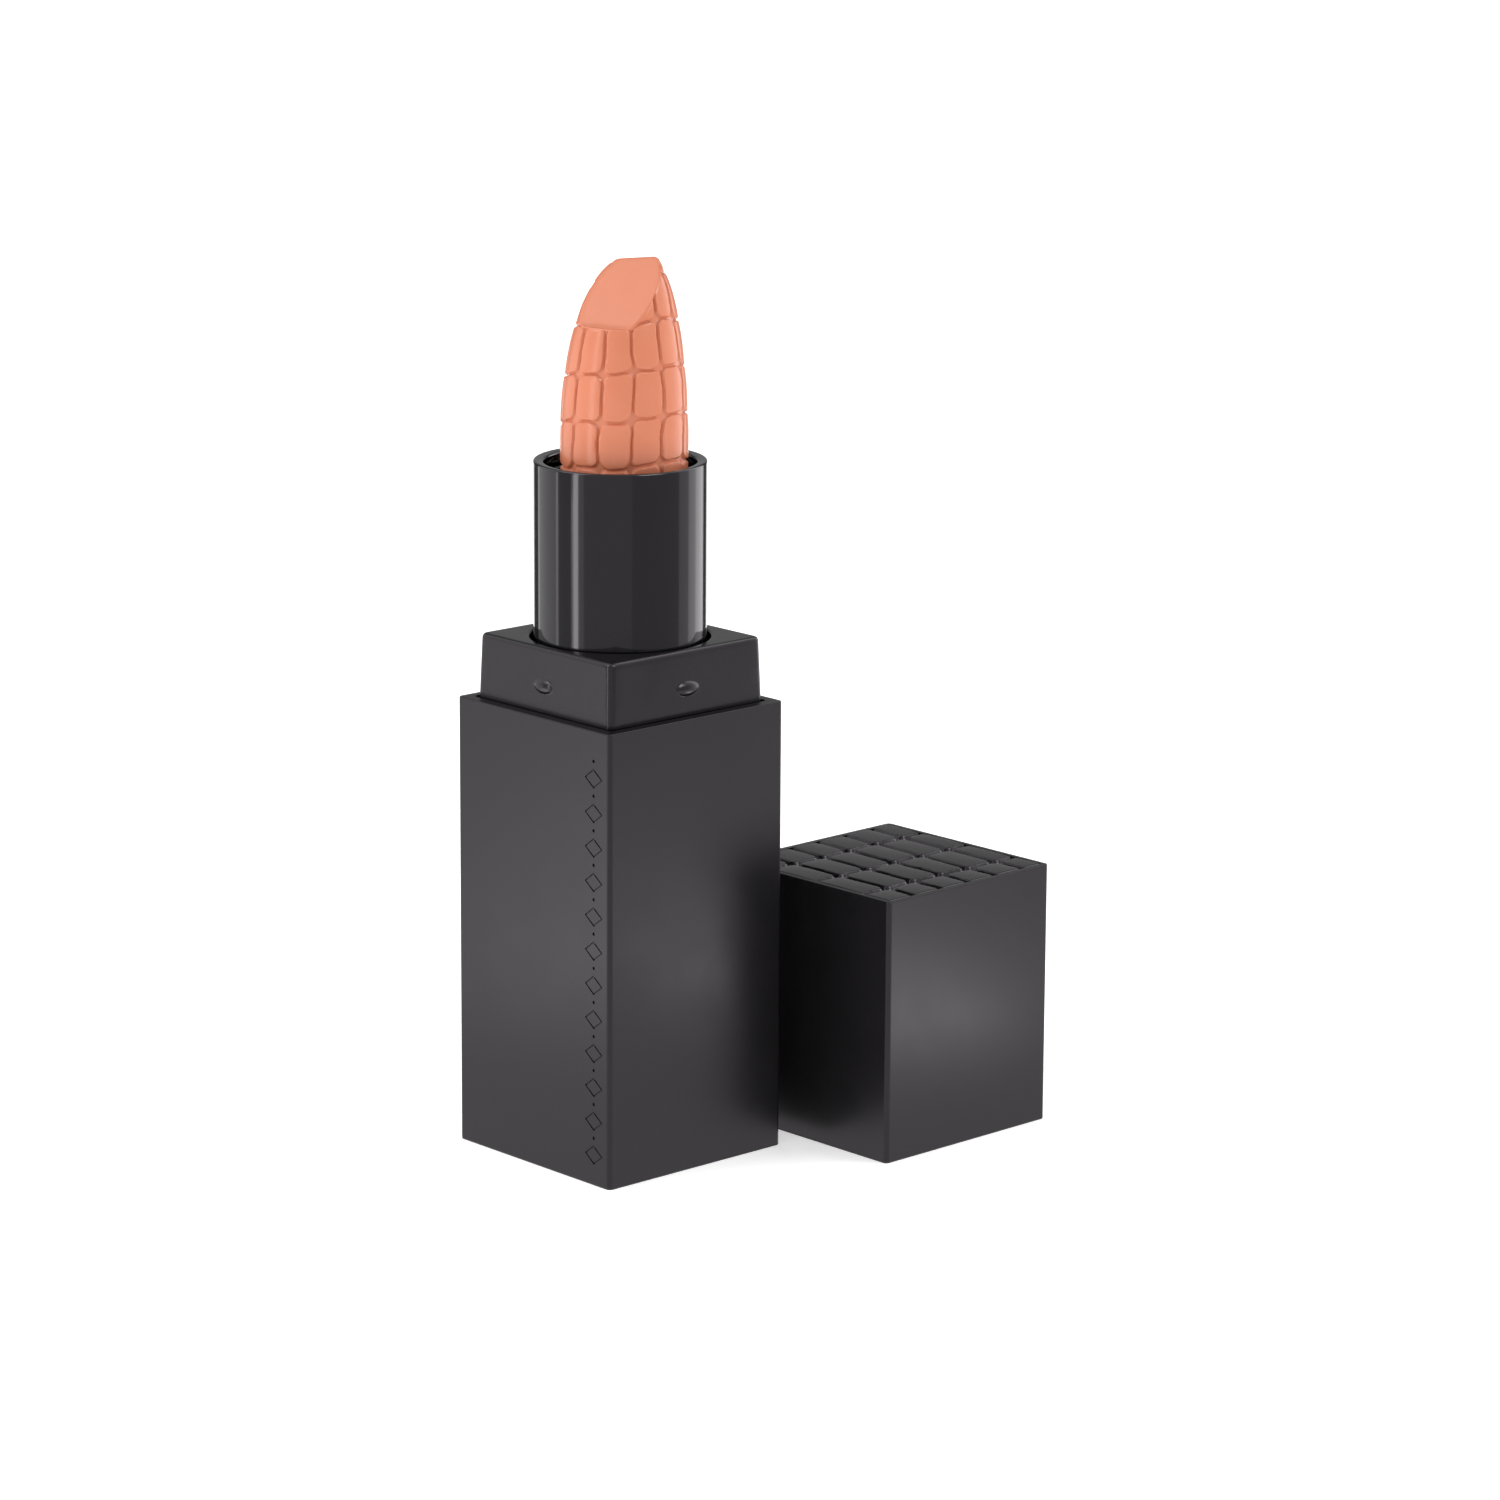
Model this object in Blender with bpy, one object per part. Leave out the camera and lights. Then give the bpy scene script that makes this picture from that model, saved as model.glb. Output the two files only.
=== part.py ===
"""Square twist-up lipstick case: the bullet is fully raised and the cap stands beside the base.

A fixed guide tube with two straight slots stops the carrier cup from turning. A sleeve with a
two-start helical slot sits inside the glossy tube shell, so turning the shell drives the cup's
two pins up and down the helix. Metres, +Z up, origin at the centre of the base's underside.
"""

import math

import bmesh
import bpy
from mathutils import Matrix, Vector

MM = 0.001

# Resolution
TURN_STEPS = 60
BULLET_STEPS = 48
CORNER_STEPS = 5
FILLET_STEPS = 3
SHARP_ANGLE = math.radians(32)

# Base
CASE_SIDE = 21.85 * MM
CASE_CORNER = 0.45 * MM
CASE_EDGE = 0.12 * MM
BASE_HEIGHT = 43.8 * MM
BASE_WALL = 1.05 * MM
BASE_FLOOR = 1.3 * MM
FIT_GAP = 0.1 * MM

# Label in the underside
LABEL_RADIUS = 7.0 * MM
LABEL_THICKNESS = 0.2 * MM
LABEL_GAP = 0.15 * MM

# Collar
COLLAR_HEIGHT = 6.2 * MM
COLLAR_FOOT_SIDE = 19.25 * MM
COLLAR_TOP_SIDE = 18.85 * MM
COLLAR_CORNER = 0.7 * MM
COLLAR_EDGE = 0.45 * MM
COLLAR_SKIRT = 14.5 * MM
COLLAR_HOLE_RADIUS = 8.55 * MM
BUMP_WIDTH = 2.6 * MM
BUMP_HEIGHT = 1.25 * MM
BUMP_DEPTH = 0.33 * MM
BUMP_LEVEL = 2.55 * MM

# Tube and mechanism
RIM_LEVEL = 66.8 * MM
TUBE_RADIUS = 8.2 * MM
TUBE_BORE = 7.7 * MM
TUBE_FOOT = 29.4 * MM
MOUTH_RADIUS = 7.2 * MM
LIP_THICKNESS = 0.8 * MM
RIM_FILLET = 0.22 * MM
SLEEVE_INNER = 7.15 * MM
SLEEVE_OUTER = 7.6 * MM
SLEEVE_FOOT = 30.2 * MM
SLEEVE_TOP = 58.0 * MM
GUIDE_INNER = 6.5 * MM
GUIDE_OUTER = 7.05 * MM
GUIDE_FOOT = 26.45 * MM
GUIDE_TOP = 65.5 * MM
FLANGE_RADIUS = 8.85 * MM
FLANGE_HEIGHT = 2.4 * MM
FOOT_HOLE_RADIUS = 4.0 * MM
RING_LEVEL = 61.2 * MM
RING_GROOVE = 6.85 * MM

# Motion
STROKE = 22.0 * MM
TURN_ANGLE = math.radians(450)
PIN_LEVEL = 55.0 * MM
PIN_RADIUS = 0.9 * MM
PIN_REACH = 7.5 * MM
PIN_CLEARANCE = 0.12 * MM

# Carrier cup and bullet
CUP_INNER = 5.85 * MM
CUP_OUTER = 6.4 * MM
CUP_FOOT = 53.0 * MM
CUP_TOP = 63.9 * MM
CUP_FLOOR = 0.9 * MM
SHANK_RADIUS = 5.75 * MM
BULLET_RADIUS = 6.01 * MM
BULLET_APEX = 87.35 * MM
DOME_HEIGHT = 18.87 * MM
BULLET_OFFSET = (0.24 * MM, 0.28 * MM)
BULLET_LEAN = (0.53 * MM, 0.60 * MM)
FACET_AZIMUTH = math.radians(-73.0)
FACET_SLOPE = math.radians(49.0)
FACET_LEVEL = 84.22 * MM
CREST_AZIMUTH = math.radians(138.8)
CREST_SLOPE = math.radians(14.0)
CREST_LEVEL = 85.95 * MM

# Inside the base
INSERT_HALF = 9.72 * MM
INSERT_WALL = 1.0 * MM
INSERT_FOOT = 1.45 * MM
INSERT_TOP = 26.3 * MM
INSERT_DECK = 1.9 * MM
SOCKET_RADIUS = 9.5 * MM
SOCKET_HEIGHT = 2.7 * MM
WEIGHT_SIDE = 16.8 * MM
WEIGHT_FOOT = 1.6 * MM
WEIGHT_HEIGHT = 8.5 * MM

# Cap
CAP_PLACE = (11.0 * MM, 25.03 * MM)
CAP_TURN = math.radians(0.93)
CAP_HEIGHT = 25.7 * MM
CAP_WALL = 0.55 * MM
CAP_RIM = 0.5 * MM
PANEL_RECESS = 0.95 * MM
CAP_DECK = 1.0 * MM
LINER_WALL = 0.55 * MM
LINER_GAP = 0.05 * MM
LINER_DEPTH = 23.0 * MM
LINER_FOOT = 0.4 * MM
LINER_DECK = 0.6 * MM
PANEL_THICKNESS = 0.8 * MM


def clear_scene():
    """Remove whatever the new file holds."""
    for obj in list(bpy.data.objects):
        bpy.data.objects.remove(obj, do_unlink=True)


def plastic(name, color, roughness, metallic=0.0):
    """A Principled material with one colour."""
    material = bpy.data.materials.new(name)
    material.use_nodes = True
    shader = material.node_tree.nodes["Principled BSDF"]
    shader.inputs["Base Color"].default_value = (*color, 1.0)
    shader.inputs["Roughness"].default_value = roughness
    shader.inputs["Metallic"].default_value = metallic
    return material


def add_part(name, mesh_data, material=None):
    """Turn a bmesh into a named, smooth-shaded object with its normals pointing out."""
    bmesh.ops.recalc_face_normals(mesh_data, faces=mesh_data.faces)
    mesh = bpy.data.meshes.new(name)
    mesh_data.to_mesh(mesh)
    mesh_data.free()
    mesh.shade_smooth()
    mesh.set_sharp_from_angle(angle=SHARP_ANGLE)
    part = bpy.data.objects.new(name, mesh)
    bpy.context.scene.collection.objects.link(part)
    if material:
        mesh.materials.append(material)
    return part


def rounded_square(half, corner, level):
    """Points of a square with round corners, counter-clockwise, at one height."""
    points = []
    for quarter in range(4):
        turn = quarter * math.pi / 2
        centre = Vector((half - corner, half - corner, level))
        for step in range(CORNER_STEPS + 1):
            angle = step / CORNER_STEPS * math.pi / 2
            offset = Vector((math.cos(angle), math.sin(angle), 0.0)) * corner
            points.append(Matrix.Rotation(turn, 3, "Z") @ (centre + offset))
    return points


def loft(rings):
    """A closed solid through rings of equal length, with a flat face on each end."""
    solid = bmesh.new()
    rows = [[solid.verts.new(point) for point in ring] for ring in rings]
    count = len(rows[0])
    for lower, upper in zip(rows, rows[1:]):
        for i in range(count):
            j = (i + 1) % count
            solid.faces.new((lower[i], lower[j], upper[j], upper[i]))
    solid.faces.new(reversed(rows[0]))
    solid.faces.new(rows[-1])
    return solid


def turned(profile, closed=True, steps=TURN_STEPS):
    """Turn a profile of (radius, level) points about Z; an open one starts and ends on Z."""
    solid = bmesh.new()
    rows = []
    for radius, level in profile:
        if radius == 0.0:
            rows.append([solid.verts.new((0.0, 0.0, level))] * steps)
            continue
        row = []
        for step in range(steps):
            angle = 2 * math.pi * step / steps
            place = (radius * math.cos(angle), radius * math.sin(angle), level)
            row.append(solid.verts.new(place))
        rows.append(row)
    pairs = list(zip(rows, rows[1:]))
    if closed:
        pairs.append((rows[-1], rows[0]))
    for lower, upper in pairs:
        for i in range(steps):
            j = (i + 1) % steps
            corners = (lower[i], lower[j], upper[j], upper[i])
            solid.faces.new(dict.fromkeys(corners))
    return solid


def fillet(centre, radius, start, end):
    """Points on an arc, as (across, level) pairs, from one angle in degrees to another."""
    points = []
    for step in range(FILLET_STEPS + 1):
        angle = math.radians(start + (end - start) * step / FILLET_STEPS)
        points.append((centre[0] + radius * math.cos(angle),
                       centre[1] + radius * math.sin(angle)))
    return points


def as_cutter(tool):
    """Keep a tool out of the finished model."""
    tool.hide_render = True
    tool.display_type = "WIRE"
    return tool


def combine(part, tool, operation):
    """Cut a tool from a part, or join it on."""
    modifier = part.modifiers.new(tool.name, "BOOLEAN")
    modifier.operation = operation
    modifier.solver = "EXACT"
    modifier.object = as_cutter(tool)


def turned_tool(name, radius, low, high):
    """A plain round cutter about Z."""
    profile = [(0.0, low), (radius, low), (radius, high), (0.0, high)]
    return add_part(name, turned(profile, closed=False))


def block_tool(name, centre, size):
    """A plain rectangular cutter."""
    block = bmesh.new()
    bmesh.ops.create_cube(block, size=1.0)
    bmesh.ops.scale(block, vec=size, verts=block.verts)
    bmesh.ops.translate(block, vec=centre, verts=block.verts)
    return add_part(name, block)


def make_base_shell(material):
    half = CASE_SIDE / 2
    inner = half - BASE_WALL
    edge = CASE_EDGE
    shell = add_part("base_shell", loft([
        rounded_square(half - edge, CASE_CORNER - edge, 0.0),
        rounded_square(half, CASE_CORNER, edge),
        rounded_square(half, CASE_CORNER, BASE_HEIGHT - edge),
        rounded_square(half - edge, CASE_CORNER - edge, BASE_HEIGHT),
        rounded_square(inner, CASE_CORNER, BASE_HEIGHT),
        rounded_square(inner, CASE_CORNER, BASE_FLOOR),
    ]), material)
    recess = LABEL_THICKNESS + LABEL_GAP
    tool = turned_tool("label_recess", LABEL_RADIUS + LABEL_GAP, -recess, recess)
    combine(shell, tool, "DIFFERENCE")


def make_shade_label(material):
    profile = [(0.0, 0.0), (LABEL_RADIUS, 0.0),
               (LABEL_RADIUS, LABEL_THICKNESS), (0.0, LABEL_THICKNESS)]
    add_part("shade_label", turned(profile, closed=False), material)


def make_base_weight(material):
    half = WEIGHT_SIDE / 2
    chamfer = 0.4 * MM
    corner = 1.2 * MM
    top = WEIGHT_FOOT + WEIGHT_HEIGHT
    add_part("base_weight", loft([
        rounded_square(half - chamfer, corner, WEIGHT_FOOT),
        rounded_square(half, corner, WEIGHT_FOOT + chamfer),
        rounded_square(half, corner, top - chamfer),
        rounded_square(half - chamfer, corner, top),
    ]), material)


def make_base_insert(material):
    """A square frame over the weight, with a round socket for the guide tube on its deck."""
    inner = INSERT_HALF - INSERT_WALL
    corner = 0.8 * MM
    insert = add_part("base_insert", loft([
        rounded_square(inner, corner, INSERT_TOP - INSERT_DECK),
        rounded_square(inner, corner, INSERT_FOOT),
        rounded_square(INSERT_HALF, corner, INSERT_FOOT),
        rounded_square(INSERT_HALF, corner, INSERT_TOP),
    ]), material)
    low = INSERT_TOP - INSERT_DECK / 2
    high = INSERT_TOP + SOCKET_HEIGHT
    bore = FLANGE_RADIUS + FIT_GAP
    socket = add_part("insert_socket", turned([
        (bore, low), (SOCKET_RADIUS, low), (SOCKET_RADIUS, high), (bore, high)]))
    combine(insert, socket, "UNION")
    hole = turned_tool("insert_hole", FOOT_HOLE_RADIUS, INSERT_FOOT + INSERT_WALL, high)
    combine(insert, hole, "DIFFERENCE")


def collar_half(level):
    """Half the collar's width at a height above the base's rim; its sides lean in."""
    lean = (COLLAR_FOOT_SIDE - COLLAR_TOP_SIDE) / 2 / COLLAR_HEIGHT
    return COLLAR_FOOT_SIDE / 2 - lean * level


def make_collar(material):
    """The tapered square collar, its skirt inside the base, and one snap bump a side."""
    skirt_half = CASE_SIDE / 2 - BASE_WALL - FIT_GAP
    step = COLLAR_FOOT_SIDE / 2
    corner = COLLAR_CORNER
    rings = [
        rounded_square(skirt_half, corner, BASE_HEIGHT - COLLAR_SKIRT),
        rounded_square(skirt_half, corner, BASE_HEIGHT - 1.5 * MM),
        rounded_square(step, corner, BASE_HEIGHT - 1.3 * MM),
        rounded_square(step, corner, BASE_HEIGHT),
    ]
    arc_level = COLLAR_HEIGHT - COLLAR_EDGE
    arc_centre = (collar_half(arc_level) - COLLAR_EDGE, BASE_HEIGHT + arc_level)
    for across, level in fillet(arc_centre, COLLAR_EDGE, 0, 90):
        rings.append(rounded_square(across, across - arc_centre[0] + 0.25 * MM, level))
    collar = add_part("collar", loft(rings), material)

    for side in range(4):
        bump = bmesh.new()
        bmesh.ops.create_uvsphere(bump, u_segments=16, v_segments=10, radius=0.5)
        size = (2 * BUMP_DEPTH, BUMP_WIDTH, BUMP_HEIGHT)
        bmesh.ops.scale(bump, vec=size, verts=bump.verts)
        place = Vector((collar_half(BUMP_LEVEL), 0.0, BASE_HEIGHT + BUMP_LEVEL))
        turn = Matrix.Rotation(side * math.pi / 2, 4, "Z")
        bmesh.ops.transform(bump, matrix=turn @ Matrix.Translation(place), verts=bump.verts)
        combine(collar, add_part(f"bump_{side}", bump), "UNION")

    top = BASE_HEIGHT + COLLAR_HEIGHT
    low = BASE_HEIGHT - COLLAR_SKIRT - 1.0 * MM
    flare = 0.25 * MM
    tool = add_part("collar_bore", turned([
        (0.0, low), (COLLAR_HOLE_RADIUS, low), (COLLAR_HOLE_RADIUS, top - flare),
        (COLLAR_HOLE_RADIUS + flare, top), (COLLAR_HOLE_RADIUS + flare, top + flare),
        (0.0, top + flare)], closed=False))
    combine(collar, tool, "DIFFERENCE")


def make_guide_tube(material):
    """The fixed inner tube: a foot flange, two straight slots and a groove for the ring."""
    flange_top = GUIDE_FOOT + FLANGE_HEIGHT
    groove_low = RING_LEVEL - 0.6 * MM
    groove_high = RING_LEVEL + 0.6 * MM
    guide = add_part("guide_tube", turned([
        (FOOT_HOLE_RADIUS, GUIDE_FOOT), (FLANGE_RADIUS, GUIDE_FOOT),
        (FLANGE_RADIUS, flange_top), (GUIDE_OUTER, flange_top),
        (GUIDE_OUTER, groove_low), (RING_GROOVE, groove_low),
        (RING_GROOVE, groove_high), (GUIDE_OUTER, groove_high),
        (GUIDE_OUTER, GUIDE_TOP), (GUIDE_INNER, GUIDE_TOP),
        (GUIDE_INNER, flange_top - 0.6 * MM), (FOOT_HOLE_RADIUS, flange_top - 0.6 * MM),
    ]), material)
    reach = PIN_RADIUS + 2 * PIN_CLEARANCE
    low = PIN_LEVEL - STROKE - reach
    high = PIN_LEVEL + reach
    width = 2 * (PIN_RADIUS + PIN_CLEARANCE)
    size = (4 * GUIDE_OUTER, width, high - low)
    slot = block_tool("guide_slots", (0.0, 0.0, (low + high) / 2), size)
    combine(guide, slot, "DIFFERENCE")


def make_friction_ring(material):
    inner = RING_GROOVE + 0.05 * MM
    outer = TUBE_BORE - 0.08 * MM
    half = 0.5 * MM
    bevel = 0.15 * MM
    low, high = RING_LEVEL - half, RING_LEVEL + half
    add_part("friction_ring", turned([
        (inner, low), (outer - bevel, low), (outer, low + bevel),
        (outer, high - bevel), (outer - bevel, high), (inner, high)]), material)


def helical_tool(name, start):
    """A cutter along one start of the helix, which climbs to the right as it turns."""
    step_angle = 2 * math.pi / TURN_STEPS
    overrun = 2
    steps = round(TURN_ANGLE / step_angle) + 2 * overrun
    rise = STROKE / TURN_ANGLE
    slope = math.atan(rise / SLEEVE_OUTER)
    reach = (PIN_RADIUS + PIN_CLEARANCE) / math.cos(slope)
    inner, outer = SLEEVE_INNER - 0.3 * MM, SLEEVE_OUTER + 0.3 * MM
    rings = []
    for step in range(steps + 1):
        angle = (step + overrun - steps) * step_angle
        level = PIN_LEVEL + rise * angle
        across = Vector((math.cos(angle + start), math.sin(angle + start), 0.0))
        rings.append([
            across * inner + Vector((0, 0, level - reach)),
            across * outer + Vector((0, 0, level - reach)),
            across * outer + Vector((0, 0, level + reach)),
            across * inner + Vector((0, 0, level + reach)),
        ])
    return add_part(name, loft(rings))


def make_spiral_sleeve(material):
    sleeve = add_part("spiral_sleeve", turned([
        (SLEEVE_INNER, SLEEVE_FOOT), (SLEEVE_OUTER, SLEEVE_FOOT),
        (SLEEVE_OUTER, SLEEVE_TOP), (SLEEVE_INNER, SLEEVE_TOP)]), material)
    for number, start in enumerate((0.0, math.pi)):
        combine(sleeve, helical_tool(f"helix_{number}", start), "DIFFERENCE")


def make_tube_shell(material):
    """The glossy tube, with a lip turned in at its mouth."""
    lip = RIM_LEVEL - LIP_THICKNESS
    outer_arc = (TUBE_RADIUS - RIM_FILLET, RIM_LEVEL - RIM_FILLET)
    inner_arc = (MOUTH_RADIUS + RIM_FILLET, RIM_LEVEL - RIM_FILLET)
    profile = [(TUBE_BORE, TUBE_FOOT), (TUBE_RADIUS, TUBE_FOOT)]
    profile += fillet(outer_arc, RIM_FILLET, 0, 90)
    profile += fillet(inner_arc, RIM_FILLET, 90, 180)
    profile += [(MOUTH_RADIUS, lip), (TUBE_BORE, lip)]
    add_part("tube_shell", turned(profile), material)


def make_carrier_cup(material):
    """The cup that grips the bullet's foot, with a pin on each side."""
    floor = CUP_FOOT + CUP_FLOOR
    cup = add_part("carrier_cup", turned([
        (0.0, CUP_FOOT), (CUP_OUTER, CUP_FOOT), (CUP_OUTER, CUP_TOP),
        (CUP_INNER, CUP_TOP), (CUP_INNER, floor), (0.0, floor)], closed=False), material)
    wall_middle = (CUP_INNER + CUP_OUTER) / 2
    length = PIN_REACH - wall_middle
    for number, side in enumerate((1, -1)):
        pin = bmesh.new()
        bmesh.ops.create_cone(pin, cap_ends=True, segments=20, radius1=PIN_RADIUS,
                              radius2=PIN_RADIUS, depth=length)
        place = Matrix.Translation((side * (wall_middle + length / 2), 0.0, PIN_LEVEL))
        upright = Matrix.Rotation(math.pi / 2, 4, "Y")
        bmesh.ops.transform(pin, matrix=place @ upright, verts=pin.verts)
        combine(cup, add_part(f"pin_{number}", pin), "UNION")


def cut_slope(bullet, azimuth, slope, level):
    """Cut everything above a slanted plane that crosses the bullet's axis at a level."""
    normal = Vector((math.cos(azimuth) * math.sin(slope), math.sin(azimuth) * math.sin(slope),
                     math.cos(slope)))
    everything = bullet.verts[:] + bullet.edges[:] + bullet.faces[:]
    cut = bmesh.ops.bisect_plane(bullet, geom=everything, dist=1e-7, plane_no=normal,
                                 plane_co=Vector((*BULLET_OFFSET, level)), clear_outer=True)
    rim = [item for item in cut["geom_cut"] if isinstance(item, bmesh.types.BMEdge)]
    bmesh.ops.edgeloop_fill(bullet, edges=rim)


def make_bullet(material):
    """A round shank in the cup, and a leaning dome cut by a facet and a low slope behind it."""
    shank_foot = CUP_FOOT + CUP_FLOOR + FIT_GAP
    shoulder = CUP_TOP + 0.3 * MM
    dome_foot = BULLET_APEX - DOME_HEIGHT
    rows = 16
    profile = [(0.0, shank_foot), (SHANK_RADIUS, shank_foot), (SHANK_RADIUS, shoulder),
               (BULLET_RADIUS, shoulder + 0.3 * MM)]
    for row in range(rows):
        angle = row / rows * math.pi / 2
        profile.append((BULLET_RADIUS * math.cos(angle),
                        dome_foot + DOME_HEIGHT * math.sin(angle)))
    profile.append((0.0, BULLET_APEX))
    bullet = turned(profile, closed=False, steps=BULLET_STEPS)
    for vert in bullet.verts:
        if vert.co.z > shoulder + 0.1 * MM:
            rise = max(0.0, vert.co.z - dome_foot) / DOME_HEIGHT
            vert.co.x += BULLET_OFFSET[0] + BULLET_LEAN[0] * rise ** 2
            vert.co.y += BULLET_OFFSET[1] + BULLET_LEAN[1] * rise ** 2
    cut_slope(bullet, FACET_AZIMUTH, FACET_SLOPE, FACET_LEVEL)
    cut_slope(bullet, CREST_AZIMUTH, CREST_SLOPE, CREST_LEVEL)
    add_part("bullet", bullet, material)


def make_cap_shell(material):
    """The square outer cap, open below, with a recess in its top for the panel."""
    half = CASE_SIDE / 2
    edge = CASE_EDGE
    inner = half - CAP_WALL
    seat = CAP_HEIGHT - PANEL_RECESS
    return add_part("cap_shell", loft([
        rounded_square(inner, CASE_CORNER, seat - CAP_DECK),
        rounded_square(inner, CASE_CORNER, 0.0),
        rounded_square(half - edge, CASE_CORNER - edge, 0.0),
        rounded_square(half, CASE_CORNER, edge),
        rounded_square(half, CASE_CORNER, CAP_HEIGHT - edge),
        rounded_square(half - edge, CASE_CORNER - edge, CAP_HEIGHT),
        rounded_square(half - CAP_RIM, CASE_CORNER - edge, CAP_HEIGHT),
        rounded_square(half - CAP_RIM, CASE_CORNER - edge, seat),
    ]), material)


def make_cap_liner(material):
    """The plastic lining, with a snap recess in each wall for the collar's bumps."""
    outer = CASE_SIDE / 2 - CAP_WALL - LINER_GAP
    inner = outer - LINER_WALL
    lead_in = 0.2 * MM
    corner = 0.8 * MM
    liner = add_part("cap_liner", loft([
        rounded_square(inner, corner, LINER_DEPTH),
        rounded_square(inner, corner, LINER_FOOT + lead_in),
        rounded_square(inner + lead_in, corner, LINER_FOOT),
        rounded_square(outer, corner, LINER_FOOT),
        rounded_square(outer, corner, LINER_DEPTH + LINER_DECK),
    ]), material)
    reach = inner + LINER_WALL / 2
    for number, turn in enumerate(((2 * reach, 3 * MM), (3 * MM, 2 * reach))):
        tool = block_tool(f"snap_recess_{number}", (0.0, 0.0, BUMP_LEVEL), (*turn, 1.8 * MM))
        combine(liner, tool, "DIFFERENCE")
    return liner


def make_cap_top_panel(material):
    half = CASE_SIDE / 2 - CAP_RIM - FIT_GAP
    low = CAP_HEIGHT - PANEL_RECESS + LINER_GAP
    high = low + PANEL_THICKNESS
    bevel = 0.15 * MM
    corner = 0.4 * MM
    return add_part("cap_top_panel", loft([
        rounded_square(half, corner, low),
        rounded_square(half, corner, high - bevel),
        rounded_square(half - bevel, corner - bevel, high),
    ]), material)


def place_cap(pieces):
    """Stand the cap beside the base, slightly turned; its tools travel with it."""
    stand = bpy.data.objects.new("cap_place", None)
    bpy.context.scene.collection.objects.link(stand)
    stand.location = (*CAP_PLACE, 0.0)
    stand.rotation_euler = (0.0, 0.0, CAP_TURN)
    for piece in pieces:
        piece.parent = stand
        for modifier in piece.modifiers:
            modifier.object.parent = stand


def main():
    clear_scene()
    satin_black = plastic("satin_black", (0.030, 0.030, 0.032), 0.42)
    make_base_shell(satin_black)
    make_collar(plastic("moulded_black", (0.022, 0.022, 0.024), 0.30))
    make_tube_shell(plastic("gloss_black", (0.016, 0.016, 0.018), 0.08))
    make_bullet(plastic("peach_wax", (0.78, 0.30, 0.17), 0.40))
    make_carrier_cup(plastic("cup_grey", (0.05, 0.05, 0.05), 0.40))
    make_guide_tube(plastic("guide_black", (0.03, 0.03, 0.03), 0.40))
    make_spiral_sleeve(plastic("sleeve_ivory", (0.60, 0.58, 0.52), 0.45))
    make_friction_ring(plastic("ring_rubber", (0.04, 0.04, 0.04), 0.70))
    make_base_insert(plastic("insert_black", (0.03, 0.03, 0.03), 0.50))
    make_base_weight(plastic("weight_steel", (0.45, 0.45, 0.46), 0.40, 1.0))
    make_shade_label(plastic("label_silver", (0.62, 0.62, 0.64), 0.40))
    place_cap([
        make_cap_shell(plastic("cap_satin_black", (0.030, 0.030, 0.032), 0.42)),
        make_cap_liner(plastic("liner_black", (0.03, 0.03, 0.03), 0.50)),
        make_cap_top_panel(plastic("embossed_black", (0.020, 0.020, 0.021), 0.35)),
    ])


main()
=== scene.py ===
"""Looks of a square twist-up lipstick case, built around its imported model.

The satin case, moulded collar, lacquered tube, embossed bullet and scale-topped cap are made
here as fine meshes in the places their CAD nodes hold. Metres, +Z up.
"""

import math

import bmesh
import bpy
import numpy as np
from mathutils import Matrix, Vector


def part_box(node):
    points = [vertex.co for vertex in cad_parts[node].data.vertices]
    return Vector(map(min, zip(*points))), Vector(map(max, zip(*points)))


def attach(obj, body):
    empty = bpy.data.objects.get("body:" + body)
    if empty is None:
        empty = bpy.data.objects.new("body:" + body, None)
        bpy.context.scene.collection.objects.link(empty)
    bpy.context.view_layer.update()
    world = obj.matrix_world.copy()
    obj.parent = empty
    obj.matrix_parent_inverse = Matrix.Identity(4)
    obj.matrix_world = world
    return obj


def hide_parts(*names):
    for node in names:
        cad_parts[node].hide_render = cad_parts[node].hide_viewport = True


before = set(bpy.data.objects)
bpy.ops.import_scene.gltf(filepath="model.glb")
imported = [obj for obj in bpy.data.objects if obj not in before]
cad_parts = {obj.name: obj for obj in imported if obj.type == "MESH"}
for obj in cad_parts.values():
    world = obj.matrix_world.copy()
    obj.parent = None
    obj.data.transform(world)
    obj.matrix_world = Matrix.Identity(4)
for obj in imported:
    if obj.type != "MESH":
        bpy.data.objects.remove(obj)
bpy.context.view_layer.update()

MM = 0.001
UP = Vector((0, 0, 1))

# Smoothness of the finished meshes
TURN_STEPS = 192
CORNER_STEPS = 8
FILLET_STEPS = 5
SHARP_ANGLE = math.radians(35)
BULLET_STEPS = 320
BULLET_ROWS = 288
PANEL_GRID = 300

# Places and sizes read from the frame
BASE_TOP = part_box("base_shell")[1].z
CASE_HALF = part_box("base_shell")[1].x
LABEL_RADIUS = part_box("shade_label")[1].x
LABEL_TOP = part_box("shade_label")[1].z
COLLAR_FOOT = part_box("collar")[0].z
COLLAR_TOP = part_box("collar")[1].z
TUBE_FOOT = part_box("tube_shell")[0].z
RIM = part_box("tube_shell")[1].z
TUBE_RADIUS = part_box("tube_shell")[1].x
GUIDE_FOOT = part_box("guide_tube")[0].z
GUIDE_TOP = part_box("guide_tube")[1].z
FLANGE_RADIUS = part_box("guide_tube")[1].x
CUP_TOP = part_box("carrier_cup")[1].z
BULLET_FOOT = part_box("bullet")[0].z
CAP_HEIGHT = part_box("cap_shell")[1].z
CAP_CENTRE = (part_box("cap_shell")[0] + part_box("cap_shell")[1]) / 2
PANEL_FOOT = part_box("cap_top_panel")[0].z
PANEL_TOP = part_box("cap_top_panel")[1].z

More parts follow.
